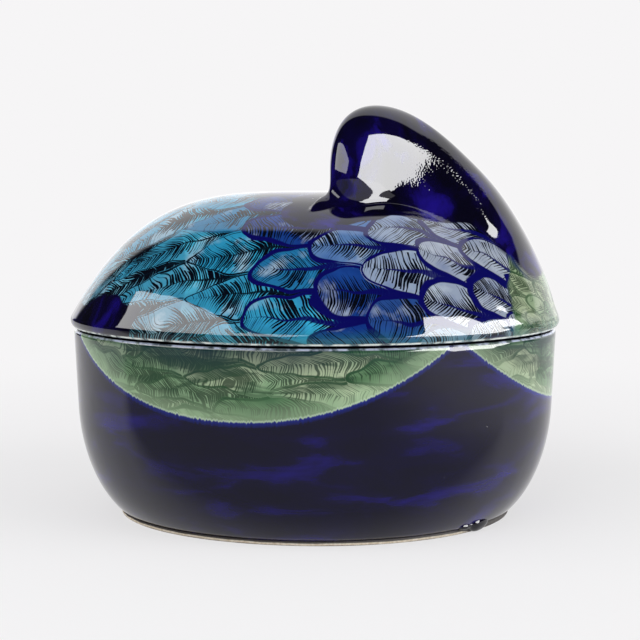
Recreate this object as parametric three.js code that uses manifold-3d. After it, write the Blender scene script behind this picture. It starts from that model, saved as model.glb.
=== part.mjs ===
// A lidded stoneware tureen in the shape of a resting bird: an oval footed bowl, and a domed lid
// whose handle is the neck and head, turned back so that the bill rests on the lid.
// Millimetres, +Z up. +X is the breast and -X the tail, -Y the side that the head is turned to.
// The origin is on the table, in the middle of the oval.
import * as THREE from 'three';
import { mergeVertices } from 'three/addons/utils/BufferGeometryUtils.js';
import Module from 'manifold-3d';

const wasm = await Module();
wasm.setup();

// The oval of the rim, in plan
const halfLength = 115.2;
const halfDepth = 92.5;
const widestAhead = 3; // the oval is widest this far towards the breast

// Bowl
const rimHeight = 88.8;
const bowlWall = 6;
const bowlFloor = 7;
const lipRadius = 2;
const wallDraw = 1.5; // how far the upright wall leans in from the rim to the corner
const cornerHeight = 52;
const cornerDrop = 55.5; // upright half axis of the rounded corner
const cornerReach = 31.2; // level half axis of the rounded corner
const innerCornerReach = 29;
const sideShare = 0.84; // the corner comes in less at the sides than at the ends

// Foot ring
const footHeight = 6.2;
const footWidth = 7.5;
const bareBand = 1.6; // unglazed clay left showing above the table
const footBevel = 2.5; // the ring's top leans in, where the bowl's glaze runs over it
const footEase = 0.6;

// Glaze run that froze beside the foot
const runTurn = 40; // degrees from the breast towards the viewer
const runLength = 12;
const runWidth = 6;
const runHeight = 6.5;

// Lid
const lidOverhang = 1.5;
const lidWall = 5.5;
const lidEdgeRadius = 3.8;
const lidEdgeLean = 30; // degrees, where the edge bead runs into the dome
const domeRise = 64.4; // from the rim to the top of the dome
const endFullness = 3.65; // section exponent towards the breast and the tail
const sideFullness = 2.85; // section exponent towards the sides

// Locating flange under the lid
const flangeWall = 4;
const flangeDepth = 9.5;
const flangeClearance = 1.5;
const flangeEase = 1.2;

// Neck and head: elliptical sections on a fan of planes about one pivot inside the dome
const pivotBehindBreast = 81.6;
const pivotBelowTop = 32.7;
const neckWall = 5.5;
const hollowStart = 72; // degrees on the fan
const hollowEnd = 178;

// Kiln vent from the hollow of the neck into the lid
const ventDiameter = 5;
const ventAhead = 48;
const ventAside = 8;

// Each section has its angle on the fan from the tail up and over, the reach of its outer and
// inner side from the pivot, its half width, and its shift towards the viewer.
const billTip = { angle: 33, crown: 43, root: 41.4, halfWidth: 0.8, shift: 47.5 };
const billTaper = { angle: 38, crown: 43.7, root: 36, halfWidth: 2.6, shift: 44.5 };
const billMiddle = { angle: 44, crown: 43.3, root: 28, halfWidth: 5, shift: 40 };
const billRoot = { angle: 50, crown: 42.9, root: 20, halfWidth: 8.5, shift: 34.5 };
const brow = { angle: 60, crown: 53.4, root: 9, halfWidth: 14, shift: 27 };
const forehead = { angle: 72, crown: 68.1, root: 3.5, halfWidth: 18.5, shift: 20.5 };
const crown = { angle: 88, crown: 72.5, root: 2, halfWidth: 21.5, shift: 14 };
const nape = { angle: 105, crown: 67.5, root: 2, halfWidth: 23.5, shift: 10.5 };
const neckTop = { angle: 125, crown: 62.1, root: 4, halfWidth: 26, shift: 8 };
const neckBend = { angle: 145, crown: 62, root: 10, halfWidth: 28.5, shift: 6 };
const shoulder = { angle: 165, crown: 66.1, root: 20, halfWidth: 33, shift: 4 };
const breastTop = { angle: 180, crown: 72.8, root: 28, halfWidth: 38, shift: 2 };
const breastFront = { angle: 192, crown: 79.3, root: 38, halfWidth: 44, shift: 0 };
const breastEnd = { angle: 202, crown: 82.6, root: 45, halfWidth: 46, shift: 0 };
const neckSections = [
  billTip, billTaper, billMiddle, billRoot, brow, forehead, crown, nape,
  neckTop, neckBend, shoulder, breastTop, breastFront, breastEnd,
];

// Gap left between pieces that are luted together or seated on each other
const seatGap = 0.3;

// Fineness of the faceted solids
const segments = 48;
const cornerSteps = 8;
const domeSteps = 10;
const arcSteps = 3;
const neckSteps = 30;
const neckSides = 28;
const hollowSteps = 12;
const hollowSides = 18;
const ventSides = 16;

const lidSeat = rimHeight + seatGap;
const domeTop = rimHeight + domeRise;
const seatWidth = bowlWall + flangeClearance + flangeWall;
const lean = THREE.MathUtils.degToRad(lidEdgeLean);

// A ring of the oval, drawn in by `draw` at the ends and by its share at the sides, then by
// `wall` all round; `share` scales what is left towards the axis.
function ovalRing({ draw = 0, wall = 0, share = 1, z = 0 }) {
  return Array.from({ length: segments }, (_, i) => {
    const turn = (2 * Math.PI * i) / segments;
    const c = Math.cos(turn);
    const endReach = halfLength - Math.sign(c) * widestAhead - draw - wall;
    const sideReach = halfDepth - sideShare * draw - wall;
    const x = widestAhead + share * endReach * c;
    return new THREE.Vector3(x, share * sideReach * Math.sin(turn), z);
  });
}

// A closed skin over rings of equal count: an open row of rings is capped at both ends by a fan,
// and a looped one joins its last ring to its first.
function skin(rings, looped = false) {
  const sides = rings[0].length;
  const points = rings.flat();
  const faces = [];
  rings.forEach((ring, k) => {
    if (k === rings.length - 1 && !looped) return;
    const from = k * sides;
    const to = ((k + 1) % rings.length) * sides;
    ring.forEach((_, i) => {
      const next = (i + 1) % sides;
      faces.push(from + i, from + next, to + next);
      faces.push(from + i, to + next, to + i);
    });
  });
  const ends = looped ? [] : [0, rings.length - 1];
  ends.forEach((k) => {
    const middle = new THREE.Vector3();
    rings[k].forEach((p) => middle.addScaledVector(p, 1 / sides));
    const hub = points.push(middle) - 1;
    rings[k].forEach((_, i) => {
      const edge = [k * sides + i, k * sides + ((i + 1) % sides)];
      if (k === 0) edge.reverse();
      faces.push(hub, ...edge);
    });
  });
  const geometry = new THREE.BufferGeometry().setFromPoints(points);
  geometry.setIndex(faces);
  return geometry;
}

function toSolid(geometry) {
  const bare = geometry.clone();
  bare.deleteAttribute('normal');
  bare.deleteAttribute('uv');
  const merged = mergeVertices(bare, 1e-5);
  const vertProperties = new Float32Array(merged.attributes.position.array);
  const triVerts = new Uint32Array(merged.index.array);
  return new wasm.Manifold(new wasm.Mesh({ numProp: 3, vertProperties, triVerts }));
}

function toGeometry(solid) {
  const { vertProperties, triVerts } = solid.getMesh();
  const geometry = new THREE.BufferGeometry();
  geometry.setAttribute('position', new THREE.BufferAttribute(vertProperties, 3));
  geometry.setIndex(new THREE.BufferAttribute(triVerts, 1));
  return geometry;
}

// How far the wall leans in at a height, before its corner is counted
function leanDraw(z) {
  return (wallDraw * (rimHeight - z)) / (rimHeight - cornerHeight);
}

// How far the outside of the bowl is drawn in at a height
function bowlDraw(z) {
  const drop = Math.max(cornerHeight - z, 0) / cornerDrop;
  return leanDraw(z) + cornerReach * (1 - Math.sqrt(1 - drop * drop));
}

// A quarter turn in arcSteps steps, as sine and cosine pairs
function quarterTurn() {
  return Array.from({ length: arcSteps + 1 }, (_, i) => {
    const turn = (Math.PI / 2) * (i / arcSteps);
    return { sin: Math.sin(turn), cos: Math.cos(turn) };
  });
}

function bowlSkin() {
  const skirt = bareBand + seatGap;
  const underside = footHeight + seatGap;
  const floorTop = underside + bowlFloor;
  const footDraw = bowlDraw(skirt);
  const lipBottom = rimHeight - lipRadius;
  const lipDraw = bowlDraw(lipBottom);
  const rings = [
    { draw: footDraw, wall: footBevel, z: underside },
    { draw: footDraw, z: skirt },
  ];
  for (let i = 1; i <= cornerSteps; i += 1) {
    const z = skirt + (cornerHeight - skirt) * (i / cornerSteps);
    rings.push({ draw: bowlDraw(z), z });
  }
  quarterTurn().forEach(({ sin, cos }) => {
    rings.push({ draw: lipDraw, wall: lipRadius * (1 - cos), z: lipBottom + lipRadius * sin });
  });
  quarterTurn().forEach(({ sin, cos }) => {
    const wall = bowlWall - lipRadius * (1 - sin);
    rings.push({ draw: lipDraw, wall, z: lipBottom + lipRadius * cos });
  });
  // The inside corner is a quarter of an ellipse that ends level with the floor
  for (let i = 0; i <= cornerSteps; i += 1) {
    const turn = (Math.PI / 2) * (i / cornerSteps);
    const z = cornerHeight - (cornerHeight - floorTop) * Math.sin(turn);
    const draw = leanDraw(z) + innerCornerReach * (1 - Math.cos(turn));
    rings.push({ draw, wall: bowlWall, z });
  }
  return skin(rings.map(ovalRing));
}

// The space that the foot ring takes up, with its joint
function footSpace() {
  const draw = bowlDraw(bareBand + seatGap);
  const profile = [
    { wall: -seatGap, z: -runHeight },
    { wall: -seatGap, z: bareBand },
    { wall: footBevel, z: footHeight + seatGap },
  ];
  return skin(profile.map((point) => ovalRing({ draw, ...point })));
}

// A flattened bead, square to the foot's edge
function glazeRun() {
  const run = new THREE.SphereGeometry(1, 14, 10);
  run.scale(runWidth / 2, runLength / 2, runHeight / 2);
  const turn = THREE.MathUtils.degToRad(runTurn);
  const draw = bowlDraw(bareBand + seatGap);
  const endReach = halfLength - widestAhead - draw;
  const sideReach = halfDepth - sideShare * draw;
  const x = endReach * Math.cos(turn);
  const y = -sideReach * Math.sin(turn);
  run.rotateZ(Math.atan2(y / sideReach ** 2, x / endReach ** 2));
  run.translate(widestAhead + x, y, seatGap + runHeight / 2);
  return run;
}

function bowl() {
  const run = toSolid(glazeRun()).subtract(toSolid(footSpace()));
  return toGeometry(toSolid(bowlSkin()).add(run));
}

function footRing() {
  const draw = bowlDraw(bareBand + seatGap);
  const profile = [
    { wall: footEase, z: 0 },
    { wall: 0, z: footEase },
    { wall: 0, z: bareBand },
    { wall: footBevel, z: footHeight },
    { wall: footWidth, z: footHeight },
    { wall: footWidth, z: footEase },
    { wall: footWidth - footEase, z: 0 },
  ];
  return skin(profile.map((point) => ovalRing({ draw, ...point })), true);
}

// Height of the dome over a place in plan, for the dome's outside or a skin `grow` outside it
function domeHeight(x, y, grow = 0) {
  const out = lidOverhang - lidEdgeRadius * (1 - Math.cos(lean)) + grow;
  const foot = lidSeat + lidEdgeRadius * (1 + Math.sin(lean));
  const ahead = x - widestAhead;
  const along = ahead / (halfLength - Math.sign(ahead) * widestAhead + out);
  const across = y / (halfDepth + out);
  const radius = Math.hypot(along, across);
  const fullness = sideFullness + (endFullness - sideFullness) * (along / radius) ** 2;
  return foot + (domeTop + grow - foot) * (1 - radius ** fullness);
}

// Rings of the dome from near its top to its edge, crowded towards the steep edge
function domeRings(wall, grow = 0) {
  return Array.from({ length: domeSteps }, (_, i) => {
    const share = Math.sin((Math.PI / 2) * ((i + 1) / domeSteps));
    return ovalRing({ wall, share }).map((p) => p.setZ(domeHeight(p.x, p.y, grow)));
  });
}

function domeEdge() {
  return lidEdgeRadius * (1 - Math.cos(lean)) - lidOverhang;
}

function lidDome() {
  const rings = domeRings(domeEdge());
  const steps = 2 * arcSteps;
  for (let i = 1; i <= steps; i += 1) {
    const turn = lean - (lean + Math.PI / 2) * (i / steps);
    const wall = lidEdgeRadius * (1 - Math.cos(turn)) - lidOverhang;
    rings.push(ovalRing({ wall, z: lidSeat + lidEdgeRadius * (1 + Math.sin(turn)) }));
  }
  rings.push(ovalRing({ wall: seatWidth, z: lidSeat }));
  rings.push(...domeRings(seatWidth, -lidWall).reverse());
  const vent = new THREE.CylinderGeometry(ventDiameter / 2, ventDiameter / 2, domeRise, ventSides);
  vent.rotateX(Math.PI / 2);
  vent.translate(ventAhead, -ventAside, domeTop);
  return toGeometry(toSolid(skin(rings.reverse())).subtract(toSolid(vent)));
}

function lidFlange() {
  const outer = bowlWall + flangeClearance;
  const bottom = rimHeight - flangeDepth;
  const profile = [
    { wall: outer + flangeEase, z: bottom },
    { wall: outer, z: bottom + flangeEase },
    { wall: outer, z: rimHeight },
    { wall: seatWidth, z: rimHeight },
    { wall: seatWidth, z: bottom + flangeEase },
    { wall: seatWidth - flangeEase, z: bottom },
  ];
  return skin(profile.map(ovalRing), true);
}

// A natural cubic spline through values at knots, as a function
function smoothThrough(knots, values) {
  const last = knots.length - 1;
  const step = (i) => knots[i + 1] - knots[i];
  const slope = (i) => (values[i + 1] - values[i]) / step(i);
  const bend = new Array(last + 1).fill(0);
  const carry = new Array(last + 1).fill(0);
  for (let i = 1; i < last; i += 1) {
    const scale = 2 * (step(i - 1) + step(i)) - step(i - 1) * carry[i - 1];
    carry[i] = step(i) / scale;
    bend[i] = (6 * (slope(i) - slope(i - 1)) - step(i - 1) * bend[i - 1]) / scale;
  }
  for (let i = last - 1; i > 0; i -= 1) bend[i] -= carry[i] * bend[i + 1];
  return (at) => {
    const i = Math.max(0, knots.findLastIndex((knot, k) => knot <= at && k < last));
    const a = (knots[i + 1] - at) / step(i);
    const b = 1 - a;
    const curl = (a ** 3 - a) * bend[i] + (b ** 3 - b) * bend[i + 1];
    return a * values[i] + b * values[i + 1] + (curl * step(i) ** 2) / 6;
  };
}

// Rings of the neck over a stretch of the fan, `inside` its outer skin
function neckRings(from, to, steps, sides, inside = 0) {
  const knots = neckSections.map((section) => section.angle);
  const curve = (key) => smoothThrough(knots, neckSections.map((section) => section[key]));
  const [crownAt, rootAt, widthAt, shiftAt] = ['crown', 'root', 'halfWidth', 'shift'].map(curve);
  return Array.from({ length: steps + 1 }, (_, k) => {
    const angle = from + (to - from) * (k / steps);
    const fan = THREE.MathUtils.degToRad(angle);
    const middle = (crownAt(angle) + rootAt(angle)) / 2;
    const reach = (crownAt(angle) - rootAt(angle)) / 2 - inside;
    return Array.from({ length: sides }, (_unused, i) => {
      const turn = (2 * Math.PI * i) / sides;
      const out = middle + reach * Math.sin(turn);
      return new THREE.Vector3(
        halfLength - pivotBehindBreast - out * Math.cos(fan),
        (widthAt(angle) - inside) * Math.cos(turn) - shiftAt(angle),
        domeTop - pivotBelowTop + out * Math.sin(fan),
      );
    });
  });
}

function neckAndHead() {
  const outside = skin(neckRings(billTip.angle, breastEnd.angle, neckSteps, neckSides));
  const hollow = skin(neckRings(hollowStart, hollowEnd, hollowSteps, hollowSides, neckWall));
  const edge = domeEdge() - seatGap;
  const domeSpace = domeRings(edge, seatGap);
  domeSpace.push(ovalRing({ wall: edge, z: rimHeight - flangeDepth }));
  return toGeometry(
    toSolid(outside).subtract(toSolid(hollow)).subtract(toSolid(skin(domeSpace.reverse()))),
  );
}

const cobaltGlaze = { color: 0x14104e, roughness: 0.08 };
const paintedGlaze = { color: 0x2a63a8, roughness: 0.1 };
const bareStoneware = { color: 0xcdbfa8, roughness: 0.85 };

function piece(name, geometry, finish) {
  const material = new THREE.MeshStandardMaterial({ ...finish, metalness: 0 });
  const mesh = new THREE.Mesh(geometry, material);
  mesh.name = name;
  return mesh;
}

const tureen = new THREE.Group();
tureen.add(
  piece('bowl', bowl(), cobaltGlaze),
  piece('foot_ring', footRing(), bareStoneware),
);
const lid = new THREE.Group();
lid.add(
  piece('lid_dome', lidDome(), paintedGlaze),
  piece('lid_flange', lidFlange(), cobaltGlaze),
  piece('neck_and_head', neckAndHead(), cobaltGlaze),
);
tureen.add(lid);

export default tureen;
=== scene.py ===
# Looks for a lidded stoneware tureen in the shape of a resting bird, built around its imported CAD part.
# +Z up, +X the breast, -X the tail, -Y the side that the head is turned to. Shapes are worked out in
# millimetres, from the part's own measures, and become metres in the meshes.
from functools import partial
import math

import bmesh
import bpy
import numpy as np
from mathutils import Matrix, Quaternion, Vector


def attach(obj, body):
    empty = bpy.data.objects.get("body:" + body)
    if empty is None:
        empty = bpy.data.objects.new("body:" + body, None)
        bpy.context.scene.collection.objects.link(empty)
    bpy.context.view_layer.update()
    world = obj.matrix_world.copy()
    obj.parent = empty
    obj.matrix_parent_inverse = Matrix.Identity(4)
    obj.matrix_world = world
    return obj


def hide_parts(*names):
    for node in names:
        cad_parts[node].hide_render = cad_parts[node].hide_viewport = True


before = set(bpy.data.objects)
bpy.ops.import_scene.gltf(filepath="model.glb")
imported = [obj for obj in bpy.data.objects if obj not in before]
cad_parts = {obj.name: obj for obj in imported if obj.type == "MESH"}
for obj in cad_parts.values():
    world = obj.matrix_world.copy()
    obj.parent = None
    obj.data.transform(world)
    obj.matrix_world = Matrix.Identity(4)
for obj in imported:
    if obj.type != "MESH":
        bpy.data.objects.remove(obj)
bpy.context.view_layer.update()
millimetre = 0.001
smooth = {"interpolation_type": "SMOOTHSTEP"}
scene = bpy.context.scene


# Helpers

def newObject(name, data):
    added = bpy.data.objects.new(name, data)
    scene.collection.objects.link(added)
    return added


def newPiece(name, points, faces):
    mesh = bpy.data.meshes.new(name)
    mesh.from_pydata((np.asarray(points, float) * millimetre).tolist(), [], faces)
    mesh.validate()
    outward = bmesh.new()
    outward.from_mesh(mesh)
    bmesh.ops.recalc_face_normals(outward, faces=outward.faces)
    outward.to_mesh(mesh)
    outward.free()
    mesh.shade_smooth()
    return newObject(name, mesh)


def linear(code):
    # an sRGB hex colour as the linear RGBA that the sockets take
    parts = [int(code[i:i + 2], 16) / 255 for i in (1, 3, 5)]
    return [c / 12.92 if c <= 0.04045 else ((c + 0.055) / 1.055) ** 2.4 for c in parts] + [1.0]


def addNode(tree, kind, inputs=(), out=0, **settings):
    # adds a node with its operation, settings, colour stops and links, and gives the socket `out`. A kind
    # in capitals is an operation of the Math node; an input is a socket, a number, a vector or a colour
    kind, _, operation = ("Math " + kind if kind.isupper() else kind).partition(" ")
    node = tree.nodes.new("ShaderNode" + kind)
    if operation:
        node.operation = operation
    stops = settings.pop("stops", ())
    for _ in stops[2:]:
        node.color_ramp.elements.new(0.5)
    for k, (at, code) in enumerate(stops):
        node.color_ramp.elements[k].position, node.color_ramp.elements[k].color = at, linear(code)
    for key, value in settings.items():
        setattr(node, key, value)
    for key, value in (inputs.items() if isinstance(inputs, dict) else enumerate(inputs)):
        if isinstance(value, bpy.types.NodeSocket):
            tree.links.new(value, node.inputs[key])
        else:
            node.inputs[key].default_value = linear(value) if isinstance(value, str) else value
    return node if out is None else node.outputs[out]


def keepValues(mesh, name, domain, *columns):
    # three numbers for each point or corner, for the glaze to read
    layer = mesh.attributes.new(name, "FLOAT_VECTOR", domain)
    layer.data.foreach_set("vector", np.stack(columns, axis=1).astype(np.float32).ravel())


def meshPoints(mesh):
    found = np.empty(len(mesh.vertices) * 3)
    mesh.vertices.foreach_get("co", found)
    return found.reshape(-1, 3) / millimetre


def nodesOf(owner):
    # empties the node tree of a material or world and gives the function that adds to it
    owner.use_nodes = True
    owner.node_tree.nodes.clear()
    return partial(addNode, owner.node_tree)


def newMaterial(name):
    material = bpy.data.materials.new(name)
    return material, nodesOf(material)


# The oval that every ring of the bowl and the lid follows

oval = dict(halfLength=115.2, halfDepth=92.5, widestAhead=3, sideShare=0.84, rimHeight=88.8)
ovalX = oval["widestAhead"]


def fullTurn(sides):
    return np.arange(sides) * 2 * math.pi / sides


def ovalRing(turns, wall=0.0, draw=0.0, share=1.0, z=0.0):
    c = np.cos(turns)
    endReach = oval["halfLength"] - np.sign(c) * ovalX - draw - wall
    sideReach = oval["halfDepth"] - oval["sideShare"] * draw - wall
    x = ovalX + share * endReach * c
    y = share * sideReach * np.sin(turns)
    return np.stack([x, y, np.full_like(x, z)], axis=1)


def ovalTurn(points, wall=0.0):
    ahead = points[:, 0] - ovalX
    endReach = oval["halfLength"] - np.sign(ahead) * ovalX - wall
    return np.arctan2(points[:, 1] / (oval["halfDepth"] - wall), ahead / endReach)


def stripFaces(rings, sides, looped=False):
    # quads between rings of equal count, the last one joined to the first where looped
    faces = []
    for k in range(rings if looped else rings - 1):
        low, high = k * sides, ((k + 1) % rings) * sides
        faces += [[low + i, low + (i + 1) % sides, high + (i + 1) % sides, high + i] for i in range(sides)]
    return faces


def closedFaces(rings, sides, start=0):
    # the same, closed by a fan at each end to a middle point; the two points follow the rings
    faces, count = stripFaces(rings, sides), rings * sides
    for first, middle in ((0, count), (count - sides, count + 1)):
        faces += [[first + i, first + (i + 1) % sides, middle] for i in range(sides)]
    return [[start + i for i in face] for face in faces]


# Bowl

bowlShape = dict(
    wall=6, floor=7, lipRadius=2, wallDraw=1.5, cornerHeight=52, cornerDrop=55.5, cornerReach=31.2,
    innerCornerReach=29, sides=480, cornerSteps=40, wallSteps=14, arcSteps=6, floorShares=(0.75, 0.4),
    recess=[(0.35, 0.6), (0.7, 0.3)],  # under the bowl: share of the oval, and rise
    glazeEdge=[(0.35, 0.15), (0.02, 0.55)],  # in and up: it ends in a rolled edge above the bare foot
    glazeRoll=1,
)
footShape = dict(
    height=6.2, width=7.5, bareBand=1.6, bevel=2.5, shoulder=(0.3, 0.5), ease=0.6,
    easeSteps=4, sides=360, joint=0.3,
)
bandShape = dict(
    swags=[(128, 94, 32), (325.5, 94, 32), (552.9, 123.9, 34)],  # middle along the rim, half width, depth
    rise=0.96, curve=2.2,
)


def leanDraw(z):
    return bowlShape["wallDraw"] * (oval["rimHeight"] - z) / (oval["rimHeight"] - bowlShape["cornerHeight"])


def bowlDraw(z):
    drop = max(bowlShape["cornerHeight"] - z, 0.0) / bowlShape["cornerDrop"]
    return leanDraw(z) + bowlShape["cornerReach"] * (1 - math.sqrt(1 - drop * drop))


def rimRun(turns):
    # millimetres along the rim from the tail's end, on the viewer's side first
    fine = np.linspace(-math.pi, math.pi, 4001)
    ring = ovalRing(fine)
    run = np.concatenate([[0], np.cumsum(np.linalg.norm(np.diff(ring, axis=0), axis=1))])
    return np.interp(np.mod(turns + math.pi, 2 * math.pi) - math.pi, fine, run), run[-1]


def keepBowlBand(mesh, sides, lipTop):
    # each corner's place along the rim, its drop below it, and how deep the green band hangs there
    points = meshPoints(mesh)
    corners = np.empty(len(mesh.loops), int)
    mesh.loops.foreach_get("vertex_index", corners)
    run, around = rimRun(fullTurn(sides))
    along = run[corners % sides]
    firstOfFace = np.repeat([p.loop_start for p in mesh.polygons], [p.loop_total for p in mesh.polygons])
    ahead = along - along[firstOfFace]
    along = along - around * np.round(ahead / around)
    drop = oval["rimHeight"] - points[corners, 2]
    depth, end = np.zeros(len(corners)), np.full(len(corners), -99.0)
    for middle, halfWidth, deepest in bandShape["swags"]:
        fromMiddle = np.mod(along - middle + around / 2, around) - around / 2
        inside = halfWidth - np.abs(fromMiddle)
        hang = deepest * (1 - bandShape["rise"] * np.abs(fromMiddle / halfWidth) ** bandShape["curve"])
        depth = np.where(inside > end, hang, depth)
        end = np.maximum(end, inside)
    outside = (corners < lipTop * sides).astype(float)
    keepValues(mesh, "wrap", "CORNER", along, drop, outside)
    keepValues(mesh, "swag", "CORNER", depth, end, np.zeros_like(end))


def makeBowl():
    shape = bowlShape
    rim, lip, corner = oval["rimHeight"], shape["lipRadius"], shape["cornerHeight"]
    skirt = footShape["bareBand"] + footShape["joint"]
    underside = footShape["height"] + footShape["joint"]
    floorTop = underside + shape["floor"]
    footDraw, lipDraw = bowlDraw(skirt), bowlDraw(rim - lip)
    # each row: share of the oval, wall, height, and how far the side is drawn in
    profile = [(share, 0, underside + rise, footDraw) for share, rise in shape["recess"]]
    profile.append((1, footShape["bevel"], underside, footDraw))
    profile += [(1, inward, skirt + up, footDraw) for inward, up in shape["glazeEdge"]]
    bottom = skirt + shape["glazeRoll"]
    for i in range(shape["cornerSteps"] + 1):
        z = bottom + (corner - bottom) * i / shape["cornerSteps"]
        profile.append((1, 0, z, bowlDraw(z)))
    for i in range(1, shape["wallSteps"]):
        z = corner + (rim - lip - corner) * i / shape["wallSteps"]
        profile.append((1, 0, z, leanDraw(z)))
    for i in range(2 * shape["arcSteps"] + 1):
        turn = math.pi * i / (2 * shape["arcSteps"])
        flat = shape["wall"] - 2 * lip
        wall = lip * (1 - math.cos(turn)) + (flat if turn > math.pi / 2 + 1e-6 else 0)
        profile.append((1, wall, rim - lip + lip * math.sin(turn), lipDraw))
    for i in range(1, shape["wallSteps"]):
        z = rim - lip - (rim - lip - corner) * i / shape["wallSteps"]
        profile.append((1, shape["wall"], z, leanDraw(z)))
    for i in range(shape["cornerSteps"] + 1):
        turn = math.pi / 2 * i / shape["cornerSteps"]
        z = corner - (corner - floorTop) * math.sin(turn)
        profile.append((1, shape["wall"], z, leanDraw(z) + shape["innerCornerReach"] * (1 - math.cos(turn))))
    lastDraw = profile[-1][3]
    profile += [(share, shape["wall"], floorTop, lastDraw) for share in shape["floorShares"]]
    turns = fullTurn(shape["sides"])
    rings = [ovalRing(turns, wall, draw, share, z) for share, wall, z, draw in profile]
    middles = [[ovalX, 0, z] for z in (profile[0][2], floorTop)]
    bowl = newPiece("bowlBody", np.concatenate([*rings, middles]), closedFaces(len(rings), shape["sides"]))
    lipTop = next(i for i, row in enumerate(profile) if row[1] >= shape["wall"] - lip)
    keepBowlBand(bowl.data, shape["sides"], lipTop)
    return bowl


def makeFoot():
    shape = footShape
    draw = bowlDraw(shape["bareBand"] + shape["joint"])
    width, height, ease, steps = shape["width"], shape["height"], shape["ease"], shape["easeSteps"]
    turns = [math.pi / 2 * i / steps for i in range(steps + 1)]
    profile = [(ease * (1 - math.sin(turn)), ease * (1 - math.cos(turn))) for turn in turns]
    corner = [(width - z, wall) for wall, z in profile]
    profile += [(0.0, shape["bareBand"]), (shape["shoulder"][0], shape["bareBand"] + shape["shoulder"][1])]
    profile += [(shape["bevel"], height), (width, height), *corner]
    rings = [ovalRing(fullTurn(shape["sides"]), wall, draw, 1.0, z) for wall, z in profile]
    return newPiece("footRing", np.concatenate(rings), stripFaces(len(rings), shape["sides"], looped=True))


# Lid

lidShape = dict(
    seatGap=0.3, overhang=1.5, wall=5.5, edgeRadius=3.8, edgeLean=math.radians(30), domeRise=64.4,
    endFullness=3.65, sideFullness=2.85, seatWidth=11.5, voxel=1.15, skinDepth=2.5, weld=0.35, pulls=6,
    domeSides=160, domeRings=16, domeSkirt=1.03, edgeSteps=9, insideSteps=16, shadeFrom=0.5, agree=0.8,
    steepest=(99, 1.3), leastApart=0.25,  # of dome and neck, which keep the distances and fillet steady
)
lidSeat = oval["rimHeight"] + lidShape["seatGap"]
domeTop = oval["rimHeight"] + lidShape["domeRise"]
domeFoot = lidSeat + lidShape["edgeRadius"] * (1 + math.sin(lidShape["edgeLean"]))
edgeWall = lidShape["edgeRadius"] * (1 - math.cos(lidShape["edgeLean"])) - lidShape["overhang"]

plumageShape = dict(
    middleHeight=55, around=100, along=110, breastEnd=73, reach=280, firstLength=15, lastLength=40,
    leastLength=4, columnWidth=24,
)

flangeShape = dict(
    wall=4, depth=9.5, clearance=1.5, ease=1.2, easeFrom=0.3, easeSteps=4, sides=320,
    luting=0.2,  # how far the ring runs into the lid's seat
)

neckShape = dict(
    pivotBehindBreast=81.6, pivotBelowTop=32.7,
    fillets=[(33, 1.2), (60, 2.5), (115, 3.5), (140, 10), (170, 28), (202, 28)],  # angle and size
    step=2.5, sides=72,
    # angle on the fan, reach of the outer and inner side, half width, shift towards the viewer
    sections=[
        (33, 43, 41.4, 0.8, 47.5), (38, 43.7, 36, 2.6, 44.5), (44, 43.3, 28, 5, 40),
        (50, 42.9, 20, 8.5, 34.5), (60, 53.4, 9, 14, 27), (72, 68.1, 3.5, 18.5, 20.5),
        (88, 72.5, 2, 21.5, 14), (105, 67.5, 2, 23.5, 10.5), (125, 62.1, 4, 26, 8),
        (145, 62, 10, 28.5, 6), (165, 66.1, 20, 33, 4), (180, 72.8, 28, 38, 2),
        (192, 79.3, 38, 44, 0), (202, 82.6, 45, 46, 0),
    ],
)
pivotX = oval["halfLength"] - neckShape["pivotBehindBreast"]
pivotZ = domeTop - neckShape["pivotBelowTop"]


def domeHeight(x, y, grow=0.0):
    out = -edgeWall + grow
    ahead = x - ovalX
    along = ahead / (oval["halfLength"] - np.sign(ahead) * ovalX + out)
    across = y / (oval["halfDepth"] + out)
    radius = np.maximum(np.hypot(along, across), 1e-9)
    side, end = lidShape["sideFullness"], lidShape["endFullness"]
    fullness = side + (end - side) * (along / radius) ** 2
    return domeFoot + (domeTop + grow - domeFoot) * (1 - radius ** fullness)


def smoothThrough(knots, values, at):
    # natural cubic spline, as the part's own sections follow
    knots, values = np.asarray(knots, float), np.asarray(values, float)
    step, slope = np.diff(knots), np.diff(values) / np.diff(knots)
    system, load = np.eye(len(knots)), np.zeros(len(knots))
    for i in range(1, len(knots) - 1):
        system[i, i - 1:i + 2] = step[i - 1], 2 * (step[i - 1] + step[i]), step[i]
        load[i] = 6 * (slope[i] - slope[i - 1])
    bend = np.linalg.solve(system, load)
    i = np.clip(np.searchsorted(knots, at, side="right") - 1, 0, len(knots) - 2)
    a = (knots[i + 1] - at) / step[i]
    b = 1 - a
    bent = (a ** 3 - a) * bend[i] + (b ** 3 - b) * bend[i + 1]
    return a * values[i] + b * values[i + 1] + bent * step[i] ** 2 / 6


def neckSection(angle):
    # middle and half reach from the pivot, half width and shift at an angle on the fan
    rows = np.array(neckShape["sections"], float).T
    outer, inner, width, shift = (smoothThrough(rows[0], row, angle) for row in rows[1:])
    return (outer + inner) / 2, (outer - inner) / 2, width, shift


def fanAngle(points):
    angle = np.degrees(np.arctan2(points[:, 2] - pivotZ, pivotX - points[:, 0]))
    return np.mod(angle + 90, 360) - 90


def domeLevel(points):
    return points[:, 2] - domeHeight(points[:, 0], points[:, 1])


def neckLevel(points):
    out = np.hypot(points[:, 0] - pivotX, points[:, 2] - pivotZ)
    angle = fanAngle(points)
    inRange = np.clip(angle, neckShape["sections"][0][0], neckShape["sections"][-1][0])
    middle, reach, width, shift = neckSection(inRange)
    size = np.minimum(reach, width)
    past = np.radians(angle - inRange) * out
    ellipse = np.hypot((out - middle) * size / reach, (points[:, 1] + shift) * size / width)
    return np.hypot(ellipse, past) - size


def slopeOf(level, points, small):
    here = level(points)
    return here, np.stack([(level(points + small * axis) - here) / small for axis in np.eye(3)], axis=1)


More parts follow.
